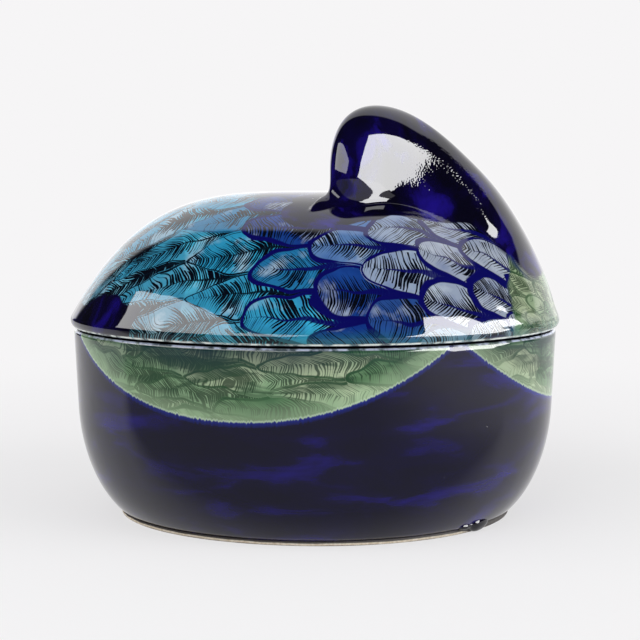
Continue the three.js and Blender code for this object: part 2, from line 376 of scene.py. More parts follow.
def distanceTo(level, points, steepest):
    # signed distance in millimetres to where `level` is nought, and the way out of the surface
    here, slope = slopeOf(level, points, 0.02)
    steepness = np.maximum(np.linalg.norm(slope, axis=1), 1e-6)
    return here / np.minimum(steepness, steepest), slope / steepness[:, None]


def lidField(points):
    # dome and neck joined by a fillet: tight under the head, wide and soft down the breast
    dome, domeWay = distanceTo(domeLevel, points, lidShape["steepest"][0])
    neck, neckWay = distanceTo(neckLevel, points, lidShape["steepest"][1])
    fillet = np.interp(fanAngle(points), *np.array(neckShape["fillets"]).T)
    apart = np.clip(1 - (domeWay * neckWay).sum(1), lidShape["leastApart"], 1)
    ease = fillet * apart
    mix = np.clip(0.5 + 0.5 * (neck - dome) / ease, 0, 1)
    way = domeWay * mix[:, None] + neckWay * (1 - mix[:, None])
    way /= np.linalg.norm(way, axis=1)[:, None]
    return neck + (dome - neck) * mix - ease * mix * (1 - mix), way, neck


cheekShape = dict(
    start=15, valley=52, end=78, slope=0.25, swell=4, ease=3, near=(4, 18), clear=14,
)


def cheekHollow(points):
    # how far the side towards the viewer gives way: a slight swell, then a shallow hollow before the neck
    shape = cheekShape
    x, y, z = points.T
    start, valley, end, slope, ease = (shape[key] for key in ("start", "valley", "end", "slope", "ease"))
    fall = (slope * (valley - start) - shape["swell"]) / (end - valley)
    turns = ((start, slope), (valley, -slope - fall), (end, fall))
    give = sum(turn * ease * np.logaddexp(0, (x - at) / ease) for at, turn in turns) - shape["swell"]
    near = np.clip((-y - shape["near"][0]) / shape["near"][1], 0, 1)
    clear = np.clip((z - domeHeight(x, y)) / shape["clear"], 0, 1)
    return give * near * near * (3 - 2 * near) * clear * clear * (3 - 2 * clear)


def roughLid():
    # dome and neck as two rough closed meshes, which a voxel remesh joins into one skin
    sides, steps = lidShape["domeSides"], lidShape["domeRings"]
    shares = np.concatenate([np.sin(np.pi / 2 * np.arange(1, steps + 1) / steps), [lidShape["domeSkirt"]]])
    rings = []
    for share in shares:
        ring = ovalRing(fullTurn(sides), edgeWall, 0, share)
        ring[:, 2] = domeHeight(ring[:, 0], ring[:, 1])
        rings.append(ring)
    points = [*rings, [[ovalX, 0, z] for z in (domeTop, rings[-1][:, 2].min())]]
    faces = closedFaces(len(rings), sides)
    start = len(rings) * sides + 2
    first, last = neckShape["sections"][0][0], neckShape["sections"][-1][0]
    angles = np.arange(first, last + 0.01, neckShape["step"])
    turns = fullTurn(neckShape["sides"])
    middle, reach, width, shift = neckSection(angles)
    for k, fan in enumerate(np.radians(angles)):
        out = middle[k] + reach[k] * np.sin(turns)
        y = width[k] * np.cos(turns) - shift[k]
        points.append(np.stack([pivotX - out * np.cos(fan), y, pivotZ + out * np.sin(fan)], axis=1))
    points += [[points[-len(angles)].mean(0)], [points[-1].mean(0)]]
    faces += closedFaces(len(angles), neckShape["sides"], start)
    return newPiece("lidBody", np.concatenate(points), faces)


def rimLoop(mesh):
    # the vertices along the one open edge, in order
    edges = {}
    for polygon in mesh.polygons:
        for key in polygon.edge_keys:
            edges[key] = edges.get(key, 0) + 1
    near = {}
    for (a, b), used in edges.items():
        if used == 1:
            near.setdefault(a, []).append(b)
            near.setdefault(b, []).append(a)
    start = next(iter(near))
    loop, before = [start], None
    while True:
        onward = [v for v in near[loop[-1]] if v != before]
        before = loop[-1]
        if onward[0] == start and len(loop) > 2:
            return loop
        loop.append(onward[0])


def makeLid():
    shape = lidShape
    lid = roughLid()
    remesh = lid.modifiers.new("join", "REMESH")
    remesh.mode = "VOXEL"
    remesh.voxel_size = shape["voxel"] * millimetre
    joined = bpy.data.meshes.new_from_object(lid.evaluated_get(bpy.context.evaluated_depsgraph_get()))
    lid.modifiers.clear()
    points = meshPoints(joined)
    outside = points[:, 2] > domeFoot - shape["skinDepth"]
    moving = points[outside]
    for _ in range(shape["pulls"]):
        distance, way, _ = lidField(moving)
        moving = moving - np.clip(distance, -1, 1)[:, None] * way
    points[outside] = moving
    joined.vertices.foreach_set("co", (points * millimetre).ravel())
    trimmed = bmesh.new()
    trimmed.from_mesh(joined)
    everything = trimmed.verts[:] + trimmed.edges[:] + trimmed.faces[:]
    level = (0, 0, domeFoot * millimetre)
    bmesh.ops.bisect_plane(trimmed, geom=everything, plane_co=level, plane_no=(0, 0, 1), clear_inner=True)
    rim = [v for v in trimmed.verts if v.is_boundary]
    bmesh.ops.remove_doubles(trimmed, verts=rim, dist=shape["weld"] * millimetre)
    trimmed.to_mesh(joined)
    trimmed.free()
    points = meshPoints(joined)
    faces = [list(p.vertices) for p in joined.polygons]
    loop = rimLoop(joined)
    turns = ovalTurn(points[loop], edgeWall)
    points[loop] = ovalRing(turns, edgeWall, z=domeFoot)
    rings = []
    for i in range(1, shape["edgeSteps"] + 1):
        turn = shape["edgeLean"] - (shape["edgeLean"] + math.pi / 2) * i / shape["edgeSteps"]
        wall = shape["edgeRadius"] * (1 - math.cos(turn)) - shape["overhang"]
        rings.append(ovalRing(turns, wall, z=lidSeat + shape["edgeRadius"] * (1 + math.sin(turn))))
    rings.append(ovalRing(turns, shape["seatWidth"], z=lidSeat))
    for i in range(shape["insideSteps"]):
        share = math.sin(math.pi / 2 * (1 - (i + 0.5) / (shape["insideSteps"] + 0.5)))
        ring = ovalRing(turns, shape["seatWidth"], share=share)
        ring[:, 2] = domeHeight(ring[:, 0], ring[:, 1], -shape["wall"])
        rings.append(ring)
    count = len(loop)
    before = loop
    start = len(points)
    for k in range(len(rings)):
        ring = [start + k * count + i for i in range(count)]
        faces += [[before[i], before[(i + 1) % count], ring[(i + 1) % count], ring[i]] for i in range(count)]
        before = ring
    hub = start + len(rings) * count
    faces += [[before[i], before[(i + 1) % count], hub] for i in range(count)]
    points = np.concatenate([points, *rings, [[ovalX, 0, domeTop - shape["wall"]]]])
    bpy.data.objects.remove(lid)
    carved = points.copy()
    carved[:start, 1] += cheekHollow(points[:start])
    lid = newPiece("lidBody", carved, faces)
    keepPlumage(lid.data)
    keepLidNormals(lid.data, points, start)
    return lid, start + (shape["edgeSteps"] + 1) * count


def keepPlumage(mesh):
    # rows of feathers run from the breast to the tail and grow longer; columns run over the back
    shape = plumageShape
    points = meshPoints(mesh)
    ahead, high = points[:, 0] - ovalX, points[:, 2] - shape["middleHeight"]
    over = shape["around"] * np.arctan2(points[:, 1], high)
    lean = np.arctan2(ahead, np.hypot(points[:, 1], high))
    fromBreast = shape["along"] * (math.radians(shape["breastEnd"]) - lean)
    growth = (shape["lastLength"] - shape["firstLength"]) / shape["reach"]
    length = np.maximum(shape["firstLength"] + growth * fromBreast, shape["leastLength"])
    row = np.log(length / shape["firstLength"]) / growth
    keepValues(mesh, "plumage", "POINT", row, over / shape["columnWidth"], length)
    neck = lidField(points)[2]
    keepValues(mesh, "lidZones", "POINT", neck, points[:, 0], points[:, 2])


def keepLidNormals(mesh, uncarved, insideStart):
    # the skin is shaded by the true surface, so that reflections run smoothly
    points = meshPoints(mesh)
    normals = np.array([v.vector for v in mesh.vertex_normals])
    above = (points[:, 2] > domeFoot + lidShape["shadeFrom"]) & (np.arange(len(points)) < insideStart)
    start = uncarved[above]
    way = lidField(start)[1]
    slope = slopeOf(cheekHollow, start, 0.05)[1]
    way -= slope * (way[:, 1] / (1 + slope[:, 1]))[:, None]
    way /= np.linalg.norm(way, axis=1)[:, None]
    agreed = (normals[above] * way).sum(1)[:, None] > lidShape["agree"]
    normals[above] = np.where(agreed, way, normals[above])
    mesh.normals_split_custom_set_from_vertices(normals.tolist())


def makeFlange():
    shape = flangeShape
    outer = bowlShape["wall"] + shape["clearance"]
    inner = outer + shape["wall"]
    bottom = oval["rimHeight"] - shape["depth"]
    ease, top = shape["ease"], lidSeat + shape["luting"]
    turns = np.linspace(shape["easeFrom"], math.pi / 2, shape["easeSteps"])
    corner = [(0.0, bottom + ease)]
    corner += [(ease * (1 - math.cos(turn)), bottom + ease * (1 - math.sin(turn))) for turn in turns]
    profile = [(outer, top)] + [(outer + inward, z) for inward, z in corner]
    profile += [(inner - inward, z) for inward, z in reversed(corner)] + [(inner, top)]
    rings = [ovalRing(fullTurn(shape["sides"]), wall, z=z) for wall, z in profile]
    return newPiece("lidFlange", np.concatenate(rings), stripFaces(len(rings), shape["sides"], looped=True))


runShape = dict(
    turn=41.5, reach=10.2, stand=4, height=4, middle=4.05,
    notch=-0.3, notchWidth=0.2, pinch=0.34, lowLobe=0.72, ripple=0.1, sink=0.18,
)


def makeGlazeRun():
    # a run of glaze that froze in two lobes beside the foot, the one nearer the breast taller
    shape = runShape
    blob = bmesh.new()
    bmesh.ops.create_icosphere(blob, subdivisions=5, radius=1)
    points = np.array([v.co for v in blob.verts])
    faces = [[v.index for v in f.verts] for f in blob.faces]
    blob.free()
    side = points[:, 0]
    neckIn = 1 - shape["pinch"] * np.exp(-((side - shape["notch"]) / shape["notchWidth"]) ** 2)
    tall = np.where(side > shape["notch"], 1.0, shape["lowLobe"]) + shape["ripple"] * np.sin(3 * side)
    low = points[:, 2] * neckIn * tall - shape["sink"] * (1 - tall)
    draw = bowlDraw(footShape["bareBand"] + footShape["joint"])
    turn = -math.radians(shape["turn"])
    at = ovalRing(np.array([turn]), 0, draw)[0]
    sideReach = oval["halfDepth"] - oval["sideShare"] * draw
    outward = np.array([math.cos(turn) / (oval["halfLength"] - draw), math.sin(turn) / sideReach])
    outward /= np.linalg.norm(outward)
    along = np.array([-outward[1], outward[0]])
    stand = (points[:, 1] * shape["stand"] * neckIn)[:, None]
    placed = at[:2] + outward * stand + along * (side * shape["reach"])[:, None]
    high = shape["middle"] + low * shape["height"]
    return newPiece("glazeRun", np.concatenate([placed, high[:, None]], axis=1), faces)


bowlBody = makeBowl()
glazeRun = makeGlazeRun()
footRing = makeFoot()
print("bowl and foot made:", len(bowlBody.data.polygons), len(footRing.data.polygons))
lidBody, lidInsideStart = makeLid()
lidFlange = makeFlange()
print("lid made:", len(lidBody.data.polygons), "faces")


# Glazes. All are glossy high-fired glazes over painted stoneware: a smooth glassy skin of IOR about
# 1.5 that mirrors the studio, with brushed and needled colour lying still beneath it. Noise scales are
# per metre, so 38 makes swells 26 mm wide. A ramp is written as from, to, and the values at its ends, and
# a coat of paint as its colour and the ramp of the share that it covers.

# the near black of the needle lines also paints the shade line in the gap of the seam
glazeLook = dict(
    skin={"Roughness": 0.03, "IOR": 1.52}, cobaltDark="#040310", cobalt="#060324", cobaltStreak="#1a0f74",
    thin=(0.40, 0.70), pinhole=(0, 0.035, -1, 0), poured=(14, 14, 14), inkAndSeamShade="#03050f",
)
needleLook = dict(
    sweep=(-0.8, -0.35),  # towards the tip, in half widths: by chance, and at least
    bow=1.12,
    waver=[(48, 3.5), (320, 0.6)],  # noise scale, and how far a line strays in mm
    place=(0.4, 0.3), crowd=(0.3, 1.7, 0.36, 0.1),
    weights=(0.3, 1.5, -0.26),  # what chance, patches and the distance from the shaft add
    edge=(-0.06, 0.1, 1, 0), limit=(0.7, 0.45),
)


def scalework(add, row, column, length, width, tipPower):
    # Staggered rows of overlapping scales, each with its tip over the next row. Gives the distance past
    # the tip's edge in mm, the place along and across the scale, its row and number, and a chance value.
    leastSlope, seed = 0.02, 3.0
    whole = add("FLOOR", [row])
    share = add("FRACT", [row])
    odd = add("FLOORED_MODULO", [whole, 2])
    upperColumn = add("MULTIPLY_ADD", [odd, -0.5, add("ADD", [column, 0.5])])
    lowerColumn = add("MULTIPLY_ADD", [odd, 0.5, column])
    upperShare = add("FRACT", [upperColumn])
    upperAcross = add("MULTIPLY_ADD", [upperShare, 2, -1])
    lowerShare = add("FRACT", [lowerColumn])
    lowerAcross = add("MULTIPLY_ADD", [lowerShare, 2, -1])
    aside = add("ABSOLUTE", [upperAcross])
    asidePart = add("POWER", [aside, tipPower])
    alongPart = add("POWER", [share, tipPower])
    cornerSum = add("ADD", [asidePart, alongPart])
    reach = add("POWER", [cornerSum, add("DIVIDE", [1, tipPower])])
    acrossSlope = add("MULTIPLY", [aside, 2 / width])
    alongSlope = add("DIVIDE", [share, length])
    slope = add("VectorMath LENGTH", [add("CombineXYZ", [acrossSlope, alongSlope, leastSlope])], out=1)
    past = add("DIVIDE", [add("ADD", [reach, -1]), slope])
    upper = add("LESS_THAN", [reach, 1])
    along = add("ADD", [share, upper])
    across = add("Mix", {0: upper, 2: lowerAcross, 3: upperAcross})
    rowNumber = add("SUBTRACT", [whole, upper])
    columnNumber = add("FLOOR", [add("Mix", {0: upper, 2: lowerColumn, 3: upperColumn})])
    own = add("CombineXYZ", [rowNumber, columnNumber, seed])
    draws = add("TexWhiteNoise", {"Vector": own}, out="Color")
    return past, along, across, rowNumber, columnNumber, add("SeparateColor", [draws], out="Red")


def needleLines(add, along, across, length, halfWidth, gap, chance, flow):
    # fine lines that leave the shaft and sweep towards the tip: each has its own weight and length
    look = needleLook
    aside = add("ABSOLUTE", [across])
    sweep = add("MULTIPLY_ADD", [chance, *(share * halfWidth for share in look["sweep"])])
    curved = add("POWER", [aside, look["bow"]])
    run = add("MULTIPLY_ADD", [along, length, add("MULTIPLY", [curved, sweep])])
    for scale, reach in look["waver"]:
        stray = add("TexNoise", {"Vector": flow, "Scale": scale, "Detail": 1})
        run = add("MULTIPLY_ADD", [stray, reach, run])
    lines = add("DIVIDE", [run, gap])
    own = add("CombineXYZ", [add("FLOOR", [lines]), add("SIGN", [across]), chance])
    draws = add("TexWhiteNoise", {"Vector": own}, out="Color")
    weights, starts, places = (add("SeparateColor", [draws], out=part) for part in ("Red", "Green", "Blue"))
    place = add("MULTIPLY_ADD", [places, *look["place"]])
    off = add("ABSOLUTE", [add("SUBTRACT", [add("FRACT", [lines]), place])])
    # ink gathers at the root and in patches, and each line thins as it leaves the shaft
    patch = add("TexNoise", {"Vector": flow, "Scale": 62, "Detail": 3})
    byChance, byPatch, byAside = look["weights"]
    weight = add("MapRange", [along, *look["crowd"]])
    weight = add("MULTIPLY_ADD", [weights, byChance, weight])
    weight = add("MULTIPLY_ADD", [add("ADD", [patch, -0.5]), byPatch, weight])
    weight = add("MULTIPLY_ADD", [aside, byAside, weight])
    line = add("MapRange", [add("SUBTRACT", [off, weight]), *look["edge"]])
    limit = add("MULTIPLY_ADD", [starts, *look["limit"]])
    return add("MULTIPLY", [line, add("LESS_THAN", [aside, limit])])


def brushedCobalt(add, flow):
    # cobalt glaze goes on by brush: thick and near black in places, violet blue where it runs thin
    strokes = {"Vector": flow, "Scale": 1, "Detail": 4, "Roughness": 0.5, "Distortion": 0.5}
    thin = add("MapRange", [add("TexNoise", strokes), *glazeLook["thin"]])
    stops = [(0, glazeLook["cobaltDark"]), (0.45, glazeLook["cobalt"]), (1, glazeLook["cobaltStreak"])]
    return add("ValToRGB", [thin], stops=stops)


def glazeSurface(add, colour, place, grain=None):
    # the skin of the glaze swells and dips over centimetres and carries small pinholes
    swell = add("TexNoise", {"Vector": place, "Scale": 38, "Detail": 2})
    bump = add("Bump", {"Strength": 0.22, "Distance": 0.0012, "Height": swell}, out="Normal")
    pits = add("TexVoronoi", {"Vector": place, "Scale": 60}, out="Distance")
    pit = add("MapRange", [pits, *glazeLook["pinhole"]])
    bump = add("Bump", {"Strength": 0.5, "Distance": 0.0003, "Height": pit, "Normal": bump}, out="Normal")
    if grain:
        fine = {"Strength": 0.6, "Distance": 0.00022, "Height": grain, "Normal": bump}
        bump = add("Bump", fine, out="Normal")
    skin = glazeLook["skin"] | {"Base Color": colour, "Normal": bump}
    add("OutputMaterial", [add("BsdfPrincipled", skin, out="BSDF")], out=None)


def coat(add, under, place, over, *ramp):
    # lays a colour over another: `place` runs along the ramp, or is itself the share that covers
    share = add("MapRange", [place, *ramp]) if ramp else place
    return add("Mix", {0: share, 6: under, 7: over}, out=2, data_type="RGBA")


def swayed(add, place, row, column, scale, reach, reachAcross):
    # rows and columns waver as a hand does: gives the two shifts, then the row and the column
    waver = add("TexNoise", {"Vector": place, "Scale": scale, "Detail": 2}, out="Color")
    shift = add("VectorMath SUBTRACT", [waver, (0.5, 0.5, 0.5)])
    sway, swayAcross = (add("SeparateXYZ", [shift], out=axis) for axis in "XY")
    row = add("MULTIPLY_ADD", [sway, reach, row])
    return sway, swayAcross, row, add("MULTIPLY_ADD", [swayAcross, reachAcross, column])


def edgeBreakHighlightAndSeamShade(add, colour, place, height, scale, lip, dark, broken, pale):
    # the glaze breaks pale over a sharp edge, and the pale line there is partly a painted highlight; the
    # dark line beside it is painted shade in the gap of the seam
    crumble = add("TexNoise", {"Vector": place, "Scale": scale, "Detail": 3})
    lip = add("MapRange", [height, *lip])
    dark = add("MapRange", [height, *dark])
    broken = add("MapRange", [crumble, *broken])
    colour = coat(add, colour, add("MULTIPLY", [lip, broken]), pale)
    return coat(add, colour, dark, glazeLook["inkAndSeamShade"])


greenLook = dict(
    colours=[(0, "#2a5a38"), (0.35, "#628a60"), (0.7, "#9abb92"), (1, "#cfdeb9")], chance=0.5,
    ahead=(0.04, 0.10, -0.08, 0.22),  # metres: paler towards the breast
    light=(0.35, 0.95, 0.1, 1), root=("#1f4427", 0, 7, 0.4, 0), needleGap=1.2, needleShare=0.85,
    needle="#14301b", outlineIn=0.8, outline=(0.5, 1.1, 1, 0), faint=(0.35, 0.6, 0.4, 0.95),
    outlineColour="#1f4427",
)


def greenScales(add, row, column, length, width, tipPower, flow):
    # pale needled greens with soft dark outlines, as painted under the clear glaze
    look = greenLook
    past, along, across, *_, chance = scalework(add, row, column, length, width, tipPower)
    cloud = add("TexNoise", {"Vector": flow, "Scale": 42, "Detail": 3})
    light = add("MULTIPLY_ADD", [chance, look["chance"], cloud])
    ahead = add("SeparateXYZ", [flow], out="X")
    light = add("ADD", [light, add("MapRange", [ahead, *look["ahead"]])])
    colour = add("ValToRGB", [add("MapRange", [light, *look["light"]])], stops=look["colours"])
    colour = coat(add, colour, past, *look["root"])
    lines = needleLines(add, along, across, length, width / 2, look["needleGap"], chance, flow)
    colour = coat(add, colour, add("MULTIPLY", [lines, look["needleShare"]]), look["needle"])
    off = add("ABSOLUTE", [add("ADD", [past, look["outlineIn"]])])
    outline = add("MapRange", [off, *look["outline"]])
    faint = add("MapRange", [cloud, *look["faint"]])
    return coat(add, colour, add("MULTIPLY", [outline, faint]), look["outlineColour"])


# lengths in mm, from the middle of the oval or above the table; rows count from the breast
paintLook = dict(
    colours=[  # share of the rows, and the feather's colour at its tip
        (0.00, "#dce6ee"), (0.30, "#d3e0ee"), (0.41, "#bcd3ec"), (0.45, "#6396cf"), (0.49, "#1a468e"),
        (0.60, "#123a88"), (0.645, "#3cc6f0"), (0.75, "#58d0f2"), (0.85, "#8ad2e6"), (0.95, "#668ba8"),
    ],
    waver=(30, 0.75, 0.75), pointed=(7.8, 8.6, 2.3, 1.35), rows=11, sideShift=(3, 5, 0, 0.12), chance=0.07,
    root=("#0b1a62", 0, 8, 0.45, 0), longFrom=6.5, washes=("#1d4f9c", "#0c6f98"),
    wash=(0.52, 0.72, 0, 0.45), bright=("#d5e2ea", 0.32, 0.46, 0.45, 0),
    needleGap=1.5,  # real needle lines lie about 1 mm apart; drawn slightly coarser so that they show
    outlines=("#07074e", "#03101c"), longFine=-0.62, taper=(0.7, 1.8, 1.5, -0.2),
    shaft=(-0.25, 0.25, 0.95, 0), press=(0.35, 0.65, 0.45, 1.6), outlineIn=0.7,
    outline=(0.9, 1.3, 1, 0),  # half of a stroke about 2.2 mm wide
    greenRows=1.7, greenColumns=1.5, greenTip=2, greenSway=14, green=(87, 88.5), edgeSway=7,
    teals=("#2a6a66", "#04161c"), teal=(92, 98, 0.6, 0), flow=(70, 70, 38), tailSway=(60, 30),
    tailAhead=(-84.5, -83.5, 1, 0), tailHigh=(104, 104.7, 1, 0), underHead=(42, 72, -11, 0), neckSway=2,
    neck=(0.7, 1.3, 1, 0), breastFall=(-0.25, 28), breast=(116.5, 118.5),
    # the lid's lower edge: a pale line that is partly painted highlight, and a painted shade line just above
    # the seat
    edge=dict(
        scale=240, lip=(90.3, 90.9, 1, 0), dark=(89.7, 90, 1, 0),
        broken=(0.4, 0.56, 0.15, 1), pale="#eef6f0",
    ),
    grainAt=(0.060, -0.035, 0.160),  # metres
    grain=(0.008, 0.028, 1, 0),
)


def makePaintedGlaze():
    # clear glaze over a painted plumage: each feather is outlined with a brush and hatched by needle
    look = paintLook
    material, add = newMaterial("clearGlazeOverPaintedPlumage")
    place = add("TexCoord", out="Object")
    plumage = add("Attribute", out="Vector", attribute_name="plumage")
    row, column, length = (add("SeparateXYZ", [plumage], out=axis) for axis in "XYZ")
    zones = add("Attribute", out="Vector", attribute_name="lidZones")
    neck, ahead, high = (add("SeparateXYZ", [zones], out=axis) for axis in "XYZ")
    width = plumageShape["columnWidth"]
    sway, swayAcross, row, column = swayed(add, place, row, column, *look["waver"])
    tipPower = add("MapRange", [row, *look["pointed"]])
    scale = scalework(add, row, column, length, width, tipPower)
    past, along, across, rowNumber, columnNumber, chance = scale
    share = add("MapRange", [add("ABSOLUTE", [columnNumber]), *look["sideShift"]])
    share = add("MULTIPLY_ADD", [rowNumber, 1 / look["rows"], share])
    share = add("MULTIPLY_ADD", [add("ADD", [chance, -0.5]), look["chance"], share])
    colour = add("ValToRGB", [share], stops=look["colours"])
    # each feather is darker where the one above covers it
    colour = coat(add, colour, past, *look["root"])
    long = add("GREATER_THAN", [rowNumber, look["longFrom"]])
    wash = add("TexNoise", {"Vector": place, "Scale": 70, "Detail": 4})
    short, far = look["washes"]
    colour = coat(add, colour, wash, coat(add, short, long, far), *look["wash"])
    colour = coat(add, colour, wash, *look["bright"])
    lines = needleLines(add, along, across, length, width / 2, look["needleGap"], chance, place)
    colour = coat(add, colour, lines, glazeLook["inkAndSeamShade"])
    # the shaft, a brush stroke that tapers from the root
    aside = add("MULTIPLY", [add("ABSOLUTE", [across]), width / 2])
    short, far = look["outlines"]
    lineColour = coat(add, short, long, far)
    fine = add("MULTIPLY_ADD", [long, look["longFine"], 1])
    taper = add("MULTIPLY", [add("MapRange", [along, *look["taper"]]), fine])
    colour = coat(add, colour, add("SUBTRACT", [aside, taper]), lineColour, *look["shaft"])
    # the outline, brushed inside the tip's edge
    press = add("TexNoise", {"Vector": place, "Scale": 48, "Detail": 1})
    wide = add("MapRange", [press, *look["press"]])
    edge = add("ABSOLUTE", [add("ADD", [past, look["outlineIn"]])])
    edge = add("DIVIDE", [edge, add("MULTIPLY", [wide, fine])])
    colour = coat(add, colour, edge, lineColour, *look["outline"])
    # green scales low on the breast and along the edge
    finer, narrower = look["greenRows"], look["greenColumns"]
    greenRow = add("MULTIPLY", [row, finer])
    greenColumn = add("MULTIPLY", [column, narrower])
    greenLength = add("MULTIPLY", [length, 1 / finer])
    green = greenScales(add, greenRow, greenColumn, greenLength, width / narrower, look["greenTip"], place)
    ragged = add("MULTIPLY_ADD", [sway, look["greenSway"], ahead])
    colour = coat(add, colour, ragged, green, *look["green"])
    edgeHigh = add("MULTIPLY_ADD", [swayAcross, look["edgeSway"], high])
    colour = coat(add, colour, edgeHigh, coat(add, look["teals"][0], lines, look["teals"][1]), *look["teal"])
    # cobalt over the tail's end and over the neck and head
    cobalt = brushedCobalt(add, add("VectorMath MULTIPLY", [place, look["flow"]]))
    tail = add("MULTIPLY_ADD", [swayAcross, look["tailSway"][0], ahead])
    tail = add("MapRange", [tail, *look["tailAhead"]])
    tailHigh = add("MULTIPLY_ADD", [sway, look["tailSway"][1], high])
    tailHigh = add("MapRange", [tailHigh, *look["tailHigh"]])
    colour = coat(add, colour, add("MULTIPLY", [tail, tailHigh]), cobalt)
    # the cobalt runs about a centimetre on to the back under the head, and the dark band there is also
    # painted shade of the overhanging cheek
    neck = add("ADD", [neck, add("MapRange", [ahead, *look["underHead"]], **smooth)])
    neck = add("ADD", [neck, add("MULTIPLY", [sway, look["neckSway"]])])
    neck = add("MapRange", [neck, *look["neck"]])
    fall, rise = look["breastFall"]
    fallen = add("MULTIPLY_ADD", [ahead, fall, add("ADD", [edgeHigh, rise])])
    breast = add("MapRange", [fallen, *look["breast"]])
    colour = coat(add, colour, add("MULTIPLY", [neck, breast]), cobalt)
    # pale broken edge, partly painted highlight, and painted seam shade along the lid's lower edge
    colour = edgeBreakHighlightAndSeamShade(add, colour, place, high, **look["edge"])
    # finer grain in the glaze on the side of the neck
    grain = add("TexNoise", {"Vector": place, "Scale": 1100, "Detail": 0})
    spot = add("VectorMath DISTANCE", [place, look["grainAt"]], out=1)
    share = add("MapRange", [spot, *look["grain"]])
    glazeSurface(add, colour, place, add("MULTIPLY", [grain, share]))
    return material


# lengths in mm, along the rim, below it, or up from the band's lower edge
bandLook = dict(
    strokes=(0.022, 0.085), thick=0.45, featherLength=32.72, featherWidth=13, featherTilt=0.022,
    featherTip=1.7, waver=(36, 0.7, 1.3), sweeps=(0.03, 0.16), sweepSeed=4, broad=(0.50, 0.58, 0, 0.75),
    broadUp=(5, 12, 0.15, 1), broadColour="#1c3d26", darkSway=16, dark=(2.5, 14, 0.85, 0),
    darkIn=(10, 60, 0.3, 1), darkColour="#08252f", pale=("#b7d2aa", 2, 10, 0.32, 0), fringe=(3, -1.5),
    inBand=(-0.3, 0.3), halo=(-2.5, 0, 0, 0.5), haloColour="#1b2fa0",
    paleEdge=("#c8dcc0", 0.3, 1.1, 0.55, 0),
    # the bowl's rim: a pale line that is partly painted highlight, and on its top a painted shade line under
    # the lid
    edge=dict(
        scale=200, lip=(0.8, 1.2, 1, 0), dark=(0.15, 0.35, 1, 0),
        broken=(0.42, 0.56, 0.1, 0.95), pale="#ccd6f0",
    ),
)


def makeCobaltGlaze():
    # cobalt glaze brushed over the bowl, left open in a band of green scales that hangs from the rim
    look = bandLook
    material, add = newMaterial("brushedCobaltGlaze")
    place = add("TexCoord", out="Object")
    wrap = add("Attribute", out="Vector", attribute_name="wrap")
    along, drop, outside = (add("SeparateXYZ", [wrap], out=axis) for axis in "XYZ")
    swag = add("Attribute", out="Vector", attribute_name="swag")
    depth, end = (add("SeparateXYZ", [swag], out=axis) for axis in "XY")
    flow = add("CombineXYZ", [add("MULTIPLY", pair) for pair in zip((along, drop), look["strokes"])])
    insideFlow = add("VectorMath MULTIPLY", [place, glazeLook["poured"]])
    flow = add("Mix", {0: outside, 4: insideFlow, 5: flow}, out=1, data_type="VECTOR")
    # the coat on the bowl is thicker, so its thin places show less
    colour = coat(add, brushedCobalt(add, flow), look["thick"], glazeLook["cobalt"])
    # long feathers lie along the rim, 20 of them round it, with their tips towards the tail
    length, width = look["featherLength"], look["featherWidth"]
    row = add("MULTIPLY_ADD", [drop, look["featherTilt"], add("MULTIPLY", [along, -1 / length])])
    column = add("MULTIPLY", [drop, 1 / width])
    sway, _, row, column = swayed(add, place, row, column, *look["waver"])
    green = greenScales(add, row, column, length, width, look["featherTip"], place)
    # broad dark strokes of the brush across the feathers
    flow = [add("MULTIPLY", pair) for pair in zip((along, drop), look["sweeps"])]
    flow = add("CombineXYZ", [*flow, look["sweepSeed"]])
    broad = add("TexNoise", {"Vector": flow, "Scale": 1, "Detail": 3, "Distortion": 0.8})
    broad = add("MapRange", [broad, *look["broad"]])
    hang = add("SUBTRACT", [depth, drop])
    broadUp = add("MapRange", [hang, *look["broadUp"]])
    green = coat(add, green, add("MULTIPLY", [broad, broadUp]), look["broadColour"])
    # it is darker just under the rim, less so near the band's ends, and paler along its lower edge
    dark = add("MapRange", [add("MULTIPLY_ADD", [sway, look["darkSway"], drop]), *look["dark"]])
    darkIn = add("MapRange", [end, *look["darkIn"]])
    green = coat(add, green, add("MULTIPLY", [dark, darkIn]), look["darkColour"])
    green = coat(add, green, hang, *look["pale"])
    fringe = add("TexNoise", {"Vector": add("CombineXYZ", [along]), "Scale": 0.9, "Detail": 2})
    hang = add("MINIMUM", [hang, end])
    reach, shift = look["fringe"]
    ragged = add("MULTIPLY_ADD", [fringe, reach, add("ADD", [hang, shift])])
    inBand = add("MULTIPLY", [add("MapRange", [ragged, *look["inBand"]]), outside])
    # the cobalt thins to bright blue just outside the band
    halo = add("MULTIPLY", [add("MapRange", [ragged, *look["halo"]]), outside])
    colour = coat(add, colour, halo, look["haloColour"])
    colour = coat(add, colour, inBand, coat(add, green, ragged, *look["paleEdge"]))
    # pale broken edge, partly painted highlight, and painted seam shade on top of the rim
    colour = edgeBreakHighlightAndSeamShade(add, colour, place, drop, **look["edge"])
    glazeSurface(add, colour, place)
    return material


def makePouredGlaze(name, thick):
    # plain cobalt glaze, poured rather than brushed, so it is even; black where it is thick
    material, add = newMaterial(name)
    place = add("TexCoord", out="Object")
    colour = brushedCobalt(add, add("VectorMath MULTIPLY", [place, glazeLook["poured"]]))
    glazeSurface(add, coat(add, colour, thick, glazeLook["cobaltDark"]), place)
    return material


# lengths in metres, above the table or from the middle of the oval
clayLook = dict(
    clay="#cbbba2", speckle=("#e6dccb", 0.35, 0.65), waver=0.0006,
    contactShade=("#4e3b2e", 0.0005, 0.0008, 0.85, 0), glazed=(0.066, 0.074, 0, 0.002),
    run=("#17131a", 0.0014, 0.0017, 0, 0.95),
)


